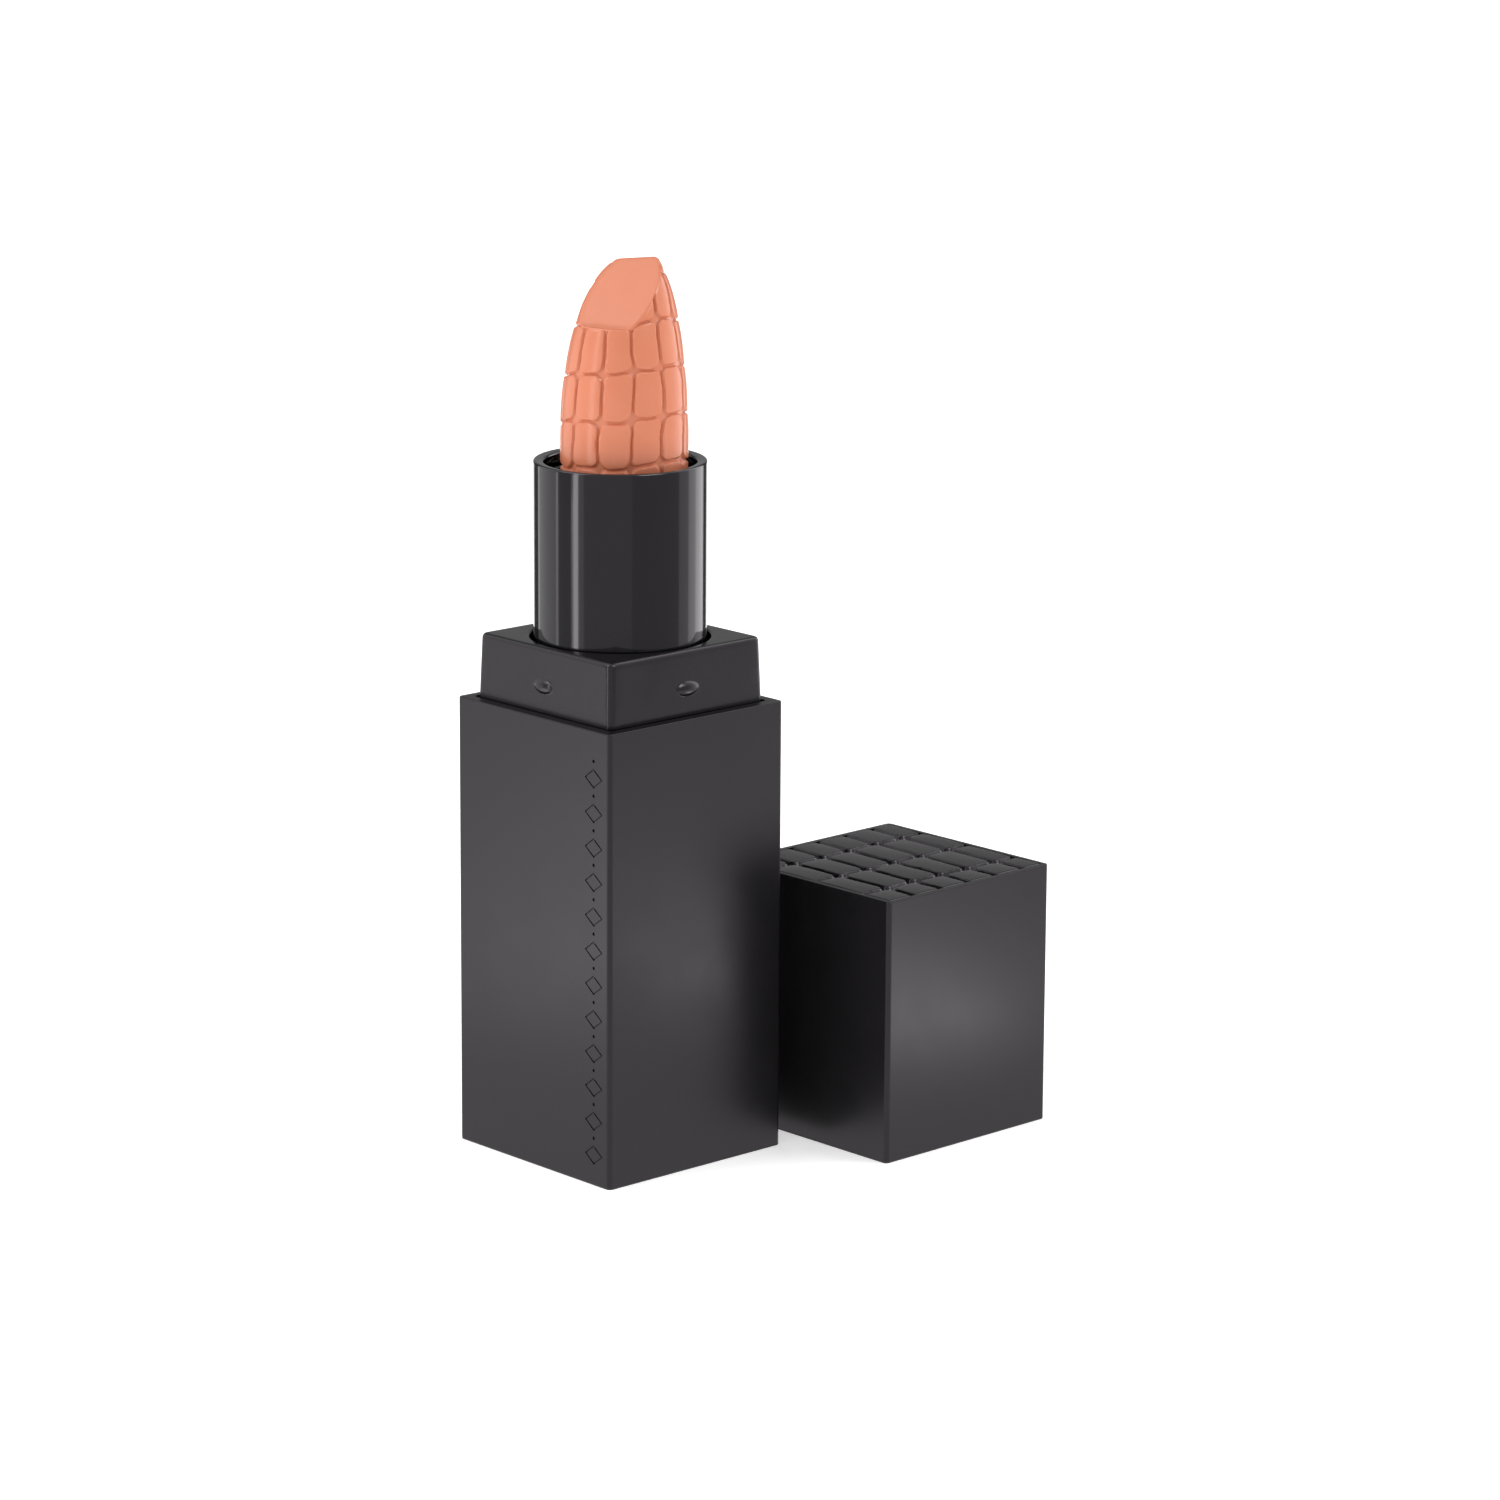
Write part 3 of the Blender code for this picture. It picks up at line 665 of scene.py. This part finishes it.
def make_guide(material):
    """The fixed guide tube: a rounded end inside the mouth, and two slots for the pins."""
    flange = GUIDE_FOOT + 2.4 * MM
    hole = 4.0 * MM
    end = (GUIDE_OUTER - GUIDE_INNER) / 2
    middle = (GUIDE_OUTER + GUIDE_INNER) / 2
    groove = 0.6 * MM
    profile = [(hole, GUIDE_FOOT), (FLANGE_RADIUS, GUIDE_FOOT), (FLANGE_RADIUS, flange),
               (GUIDE_OUTER, flange), (GUIDE_OUTER, RING_LEVEL - groove),
               (RING_GROOVE, RING_LEVEL - groove), (RING_GROOVE, RING_LEVEL + groove),
               (GUIDE_OUTER, RING_LEVEL + groove)]
    profile += arc((middle, GUIDE_TOP - end), end, 0, 180)
    profile += [(GUIDE_INNER, flange - groove), (hole, flange - groove)]
    guide = add_turned("inner_guide", profile, material)
    low, high = SLOT_LEVELS
    middle = Matrix.Translation(UP * (low + high) / 2)
    size = Matrix.Diagonal((4 * GUIDE_OUTER, SLOT_WIDTH, high - low, 1))
    slots = bmesh.new()
    bmesh.ops.create_cube(slots, size=1, matrix=middle @ size)
    cut(guide, add_object("guide_slots", as_mesh("guide_slots", slots)))
    return guide


def make_label(material):
    """The round label, with a pinhole at its centre that closes the turned profile."""
    pinhole = 0.01 * MM
    profile = [(pinhole, 0.0), (LABEL_RADIUS, 0.0), (LABEL_RADIUS, LABEL_TOP),
               (pinhole, LABEL_TOP)]
    return add_turned("underside_label", profile, material)


def slope_level(points, azimuth, slope, level):
    """The height of a slanted plane over each point; it crosses the bullet's axis at level."""
    across = (points[..., 0] - BULLET_AXIS[0]) * math.cos(azimuth)
    across = across + (points[..., 1] - BULLET_AXIS[1]) * math.sin(azimuth)
    return level - math.tan(slope) * across


def soft_least(first, second, blend):
    """The smaller of two heights, rounded over the blend where they meet."""
    share = np.clip(0.5 + 0.5 * (second - first) / blend, 0, 1)
    return second * (1 - share) + first * share - blend * share * (1 - share)


def ramp(value, low, high):
    """A smooth step from 0 at low to 1 at high."""
    share = np.clip((value - low) / (high - low), 0, 1)
    return share * share * (3 - 2 * share)


def bullet_profile():
    """Radius and level of the bullet's wall, at even steps along its outline."""
    fine = np.linspace(0, math.pi / 2, 2000)
    radii = np.concatenate([[BULLET_RADIUS], BULLET_RADIUS * np.cos(fine)])
    levels = np.concatenate([[BULLET_SHOULDER + 0.3 * MM],
                             DOME_FOOT + DOME_HEIGHT * np.sin(fine)])
    length = np.concatenate([[0], np.cumsum(np.hypot(np.diff(radii), np.diff(levels)))])
    evenly = np.linspace(0, length[-1], BULLET_ROWS + 1)[:-1]
    return np.interp(evenly, length, radii), np.interp(evenly, length, levels)


def slice_bullet(wall, dome, facing):
    """Heights of the wall under its facet and crest, and how far each point clears them."""
    facet = slope_level(wall, *FACET)
    crest = slope_level(wall, *CREST)
    facet = -soft_least(-facet, -SMOOTH_LEVEL, 0.3 * MM)
    softness = ramp(facing, 0.35, -0.5) * ramp(facing, -2.8, -1.6)
    height = ramp(dome, SMOOTH_LEVEL, SMOOTH_LEVEL + 2.5 * MM)
    sliced = soft_least(dome, facet, 0.10 * MM + 1.3 * MM * softness[None] * height)
    return soft_least(sliced, crest, 0.25 * MM), np.minimum(facet, crest) - dome


def bullet_mesh(wall, directions):
    """A closed mesh of the wall, its tip, and the plain shank that the cup holds."""
    shank = np.array([[*(direction[:2] * SHANK_RADIUS), height]
                      for height in (BULLET_FOOT, BULLET_SHOULDER) for direction in directions])
    top = wall[-1].mean(0)
    tip_level = min(slope_level(top, *FACET), slope_level(top, *CREST), DOME_APEX)
    ends = np.array([[*top[:2], tip_level], [0, 0, BULLET_FOOT]])
    points = np.concatenate([shank, wall.reshape(-1, 3), ends])
    steps, rings = BULLET_STEPS, BULLET_ROWS + 2
    tip, foot = len(points) - 2, len(points) - 1
    faces = []
    for i in range(steps):
        j = (i + 1) % steps
        faces += [(r * steps + i, r * steps + j, (r + 1) * steps + j, (r + 1) * steps + i)
                  for r in range(rings - 1)]
        faces.append(((rings - 1) * steps + i, (rings - 1) * steps + j, tip))
        faces.append((j, i, foot))
    mesh = bpy.data.meshes.new("lipstick_bullet")
    mesh.from_pydata(points.tolist(), [], faces)
    return mesh


def carry(mesh, name, values, width=1):
    """Store a value or vector of each wall point on the bullet, and zero on the rest."""
    kind, field = ("FLOAT", "value") if width == 1 else ("FLOAT_VECTOR", "vector")
    full = np.concatenate([np.zeros(2 * BULLET_STEPS * width), values.ravel(),
                           np.zeros(2 * width)])
    attribute = mesh.attributes.new(name, kind, "POINT")
    attribute.data.foreach_set(field, full.astype(np.float32))


def make_bullet(material):
    """A dome of pressed scales, cut by the facet and the crest, and left smooth beside them."""
    angles = np.arange(BULLET_STEPS) / BULLET_STEPS * 2 * math.pi
    directions = np.stack([np.cos(angles), np.sin(angles), 0 * angles], 1)
    radius, level = bullet_profile()
    rise = np.clip(level - DOME_FOOT, 0, None) / DOME_HEIGHT
    wall = directions[None] * radius[:, None, None]
    wall = wall + np.outer(rise ** 2, [*BULLET_LEAN, 0])[:, None]
    wall = wall + np.array([*BULLET_AXIS, 0])
    dome = np.broadcast_to(level[:, None], wall.shape[:2])
    facing = np.angle(np.exp(1j * (angles - SMOOTH_AZIMUTH)))
    wall[..., 2], clear = slice_bullet(wall, dome, facing)

    beside = ramp(facing, SMOOTH_REACH + 0.25, SMOOTH_REACH) * ramp(facing, -1.45, -1.25)
    smooth_side = ramp(dome, SMOOTH_LEVEL - 0.1 * MM, SMOOTH_LEVEL + 0.1 * MM) * beside[None]
    pressed = ramp(clear, 0.02 * MM, 0.30 * MM) * (1 - smooth_side)
    pressed *= ramp(level, BULLET_SHOULDER + 0.3 * MM, BULLET_SHOULDER + 0.8 * MM)[:, None]
    steep = np.arctan2(DOME_HEIGHT * radius / BULLET_RADIUS, BULLET_RADIUS * rise)
    outward = directions[None] * np.sin(steep)[:, None, None]
    outward = outward + np.array([0, 0, 1]) * np.cos(steep)[:, None, None]
    sway = 0.8 * MM * np.cos(angles - ROW_PEAK) + 0.18 * MM * np.sin(3 * angles + 1.0)
    row = (dome - BULLET_FIRST_ROW - sway[None]) / BULLET_ROW
    column = angles[None] / (2 * math.pi) * BULLET_COLUMNS + BULLET_COLUMN_SHIFT
    column = column + 0.05 * np.sin(2.1 * row + 1.5)
    narrowing = np.broadcast_to((radius / BULLET_RADIUS)[:, None], dome.shape)

    mesh = bullet_mesh(wall, directions)
    carry(mesh, "column", column)
    carry(mesh, "row", row)
    carry(mesh, "narrowing", narrowing)
    carry(mesh, "pressed", pressed)
    carry(mesh, "outward", outward, 3)
    bullet = grow(add_object("lipstick_bullet", mesh), EMBOSS, {
        "Tile Width": 2 * math.pi * BULLET_RADIUS / BULLET_COLUMNS, "Tile Height": BULLET_ROW,
        "Groove": 0.02 * MM, "Shoulder": 0.20 * MM, "Corner": 0.80 * MM,
        "Depth": 0.23 * MM, "Crown": 0.09 * MM, "Unevenness": 0.05 * MM,
        "Waviness": 0.24, "Wave Size": 3.0 * MM, "Seed": 4, "Material": material})
    smooth(bullet.data)
    return bullet


def cap_place():
    """Where the cap stands, and how far it is turned."""
    spot = Matrix.Translation((CAP_CENTRE.x, CAP_CENTRE.y, 0))
    return spot @ Matrix.Rotation(CAP_TURN, 4, "Z")


def make_cap_case(material):
    """The square cap, open below, with a seat for the panel inside its top rim."""
    edge = CASE_EDGE
    inner = CASE_HALF - CAP_WALL
    seat = PANEL_FOOT - 0.05 * MM
    rim = CASE_HALF - CAP_RIM
    rings = square_rings([(inner, seat - CAP_DECK), (inner, 0.0)], 0.5 * MM)
    rings += square_rings(arc((CASE_HALF - edge, edge), edge, -90, 0, 3)
                          + arc((CASE_HALF - edge, CAP_HEIGHT - edge), edge, 0, 90, 3))
    rings += square_rings([(rim + 0.06 * MM, CAP_HEIGHT), (rim, CAP_HEIGHT - 0.06 * MM),
                           (rim, seat)], 0.35 * MM)
    return add_solid("cap_case", loft(rings), material, cap_place())


def make_panel(material):
    """The scale panel: a fine top grid with a skirt and a flat underside."""
    half = CASE_HALF - CAP_RIM - PANEL_GAP
    count = PANEL_GRID
    solid = bmesh.new()
    layers = {name: solid.verts.layers.float.new(name)
              for name in ("column", "row", "narrowing", "pressed")}
    outward = solid.verts.layers.float_vector.new("outward")
    bevel = 0.12 * MM
    lines = np.linspace(-half, half, count)
    grid = []
    for y in lines:
        for x in lines:
            side = min(half - abs(x), half - abs(y))
            level = PANEL_TOP - bevel * max(0.0, 1 - side / (0.2 * MM)) ** 2
            vert = solid.verts.new((x, y, level))
            vert[layers["column"]] = (x - PANEL_JOINT[0]) / PANEL_TILE[0] + 10
            vert[layers["row"]] = (y - PANEL_JOINT[1]) / PANEL_TILE[1] + 10
            vert[layers["narrowing"]] = 1.0
            vert[layers["pressed"]] = 1.0
            vert[outward] = UP
            grid.append(vert)
    for j in range(count - 1):
        for i in range(count - 1):
            k = j * count + i
            solid.faces.new((grid[k], grid[k + 1], grid[k + count + 1], grid[k + count]))
    border = [grid[i] for i in range(count)]
    border += [grid[j * count + count - 1] for j in range(1, count)]
    border += [grid[(count - 1) * count + i] for i in range(count - 2, -1, -1)]
    border += [grid[j * count] for j in range(count - 2, 0, -1)]
    foot = [solid.verts.new((v.co.x, v.co.y, PANEL_FOOT)) for v in border]
    for i in range(len(border)):
        j = (i + 1) % len(border)
        solid.faces.new((border[j], border[i], foot[i], foot[j]))
    solid.faces.new(reversed(foot))
    mesh = as_mesh("cap_scale_panel", solid)
    panel = grow(add_object("cap_scale_panel", mesh), EMBOSS, {
        "Tile Width": PANEL_TILE[0], "Tile Height": PANEL_TILE[1],
        "Groove": 0.06 * MM, "Shoulder": 0.34 * MM, "Corner": 0.9 * MM,
        "Depth": 0.38 * MM, "Crown": 0.10 * MM, "Unevenness": 0.05 * MM,
        "Waviness": 0.13, "Wave Size": 5.0 * MM, "Seed": 9, "Material": material})
    panel.data.transform(cap_place())
    smooth(panel.data)
    return panel


# ---------------------------------------------------------------- studio

def make_camera():
    """A long lens in front of the case's front edge, looking a little down."""
    azimuth, elevation = CAMERA_AZIMUTH, CAMERA_ELEVATION
    back = Vector((math.sin(azimuth) * math.cos(elevation),
                   -math.cos(azimuth) * math.cos(elevation), math.sin(elevation)))
    right = Vector((math.cos(azimuth), math.sin(azimuth), 0))
    target = UP * 49.6 * MM - right * 1.475 * MM
    data = bpy.data.cameras.new("camera")
    data.lens = 130.46
    data.sensor_width = 36.0
    data.shift_x = 0.097
    data.shift_y = -0.0745
    camera = bpy.data.objects.new("camera", data)
    camera.location = target + back * CAMERA_DISTANCE
    camera.rotation_euler = (-back).to_track_quat("-Z", "Y").to_euler()
    bpy.context.scene.collection.objects.link(camera)
    bpy.context.scene.camera = camera


def bearing(degrees):
    """A level direction, counted from the camera towards its right."""
    azimuth = CAMERA_AZIMUTH + math.radians(degrees)
    return Vector((math.sin(azimuth), -math.cos(azimuth), 0))


def add_softbox(name, degrees, elevation, distance, size, strength):
    """An area light that aims at the case and is seen only as light, not as a reflection."""
    away = bearing(degrees) * math.cos(math.radians(elevation))
    away += UP * math.sin(math.radians(elevation))
    data = bpy.data.lights.new(name, "AREA")
    data.shape = "RECTANGLE"
    data.size, data.size_y = size
    data.energy = strength * size[0] * size[1] * math.pi
    light = bpy.data.objects.new(name, data)
    light.location = away * distance + UP * 60 * MM
    light.rotation_euler = (-away).to_track_quat("-Z", "Y").to_euler()
    light.visible_camera = False
    light.visible_glossy = False
    bpy.context.scene.collection.objects.link(light)


def add_glow(name, shape, radiance):
    """Give a shape an even glow that only glossy surfaces see."""
    mesh = as_mesh(name, shape)
    material = bpy.data.materials.new(name)
    material.use_nodes = True
    tree = material.node_tree
    tree.nodes.clear()
    glow = node(tree, "ShaderNodeEmission", {"Strength": radiance})
    node(tree, "ShaderNodeOutputMaterial", {"Surface": glow.outputs[0]})
    mesh.materials.append(material)
    piece = add_object(name, mesh)
    for ray in ("camera", "diffuse", "transmission", "shadow"):
        setattr(piece, f"visible_{ray}", False)


def add_card(name, start, end, low, high, radiance):
    """A curved card on the floor round the case, between two bearings."""
    card = bmesh.new()
    steps = max(2, int((end - start) / 4))
    columns = []
    for i in range(steps + 1):
        spot = bearing(start + (end - start) * i / steps) * CARD_DISTANCE
        columns.append([card.verts.new(spot + UP * level) for level in (low, high)])
    for (a, b), (c, d) in zip(columns, columns[1:]):
        card.faces.new((a, c, d, b))
    add_glow(name, card, radiance)


def add_mat(name, x, y, level, radius, radiance):
    """A round mat just over the floor."""
    mat = bmesh.new()
    bmesh.ops.create_circle(mat, cap_ends=True, segments=48, radius=radius,
                            matrix=Matrix.Translation((x, y, level)))
    add_glow(name, mat, radiance)


def make_floor():
    """A wide white floor, a little brighter than white so that only contacts darken it."""
    floor = bmesh.new()
    bmesh.ops.create_circle(floor, cap_ends=True, segments=64, radius=6.0)
    mesh = as_mesh("white_floor", floor)
    paper = bpy.data.materials.new("white_paper")
    paper.use_nodes = True
    shader = paper.node_tree.nodes["Principled BSDF"]
    shader.inputs["Base Color"].default_value = linear("#f4f4f4")
    shader.inputs["Roughness"].default_value = 1.0
    shader.inputs["Specular IOR Level"].default_value = 0.0
    shader.inputs["Emission Color"].default_value = (1, 1, 1, 1)
    shader.inputs["Emission Strength"].default_value = 0.45
    mesh.materials.append(paper)
    add_object("white_floor", mesh)


def make_studio():
    """White surroundings, soft side lights, and cards that shape the reflections."""
    scene = bpy.context.scene
    scene.view_settings.view_transform = "Standard"
    world = bpy.data.worlds.new("studio")
    world.use_nodes = True
    sky = world.node_tree.nodes["Background"]
    sky.inputs["Color"].default_value = (1, 1, 1, 1)
    sky.inputs["Strength"].default_value = 0.75
    scene.world = world
    add_softbox("soft_left", -75, 25, 0.9, (0.6, 0.9), 3.2)
    add_softbox("soft_right", 80, 25, 0.9, (0.5, 0.9), 2.8)
    add_softbox("overhead", 180, 70, 1.0, (1.0, 1.0), 0.6)
    # name, first and last bearing in degrees, bottom and top in metres, radiance
    cards = (("front", -48, 15, 0.0, 0.30, 0.55), ("front_right", 15, 82, 0.0, 0.30, 0.42),
             ("strip", -63, -56, 0.0, 0.50, 4.4), ("strip_edge", -56, -48, 0.0, 0.50, 0.9),
             ("gap_left", -88, -66, 0.0, 0.30, 0.42), ("left", -132, -92, 0.0, 0.40, 0.95),
             ("right_inner", 82, 100, 0.0, 0.40, 0.8), ("right", 100, 116, 0.0, 0.40, 1.5),
             ("right_outer", 116, 136, 0.0, 0.40, 2.2), ("gap_right", 140, 156, 0.0, 0.30, 0.1),
             ("gap_behind", -156, -136, 0.0, 0.30, 0.1), ("behind", 156, 204, 0.05, 0.40, 0.3),
             ("glint_right", 30, 70, 0.20, 0.42, 7.0), ("glint_left", -95, -70, 0.20, 0.42, 5.0))
    for name, *place in cards:
        add_card("card_" + name, *place)
    # name, x, y, level and radius in millimetres, radiance
    mats = (("floor", 0, 0, 0.2, 240, 0.90), ("left", -46, -76, 0.3, 36, 1.6),
            ("left_far", -78, -122, 0.3, 38, 2.1), ("left_centre", -44, -76, 0.4, 20, 2.4),
            ("right", 66, 58, 0.3, 21, 1.4), ("right_centre", 57, 50, 0.4, 12, 4.8))
    for name, *place, radiance in mats:
        add_mat("mat_" + name, *(size * MM for size in place), radiance)


# ---------------------------------------------------------------- assembly

def settle(piece, body, slot, *nodes):
    """Let a piece ride on its body and stand for its CAD nodes; slot is not used."""
    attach(piece, body)
    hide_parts(*nodes)


TURNED = turned_tree()
EMBOSS = emboss_tree()

make_camera()
make_studio()
make_floor()

satin = satin_abs()
inner_plastic = dark_inner_plastic()
base_case = make_base_case(satin)
engrave_case(base_case)
settle(base_case, "base", "satin_black", "base_shell")
settle(make_collar(moulded_abs()), "base", "moulded_black", "collar")
settle(make_tube(piano_lacquer()), "tube", "gloss_black", "tube_shell")
settle(make_guide(inner_plastic), "base", "inner_plastic", "guide_tube")
settle(make_label(label_film()), "base", "label_film", "shade_label")
settle(make_bullet(lipstick_wax()), "carrier", "peach_wax", "bullet")
settle(make_cap_case(satin), "cap", "satin_black", "cap_shell")
settle(make_panel(embossed_abs()), "cap", "embossed_black", "cap_top_panel")

for kept, finish_material in (
        ("base_insert", inner_plastic), ("base_weight", bright_steel()),
        ("friction_ring", silicone_rubber()), ("spiral_sleeve", natural_acetal()),
        ("carrier_cup", inner_plastic), ("cap_liner", inner_plastic)):
    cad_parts[kept].data.materials.clear()
    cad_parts[kept].data.materials.append(finish_material)
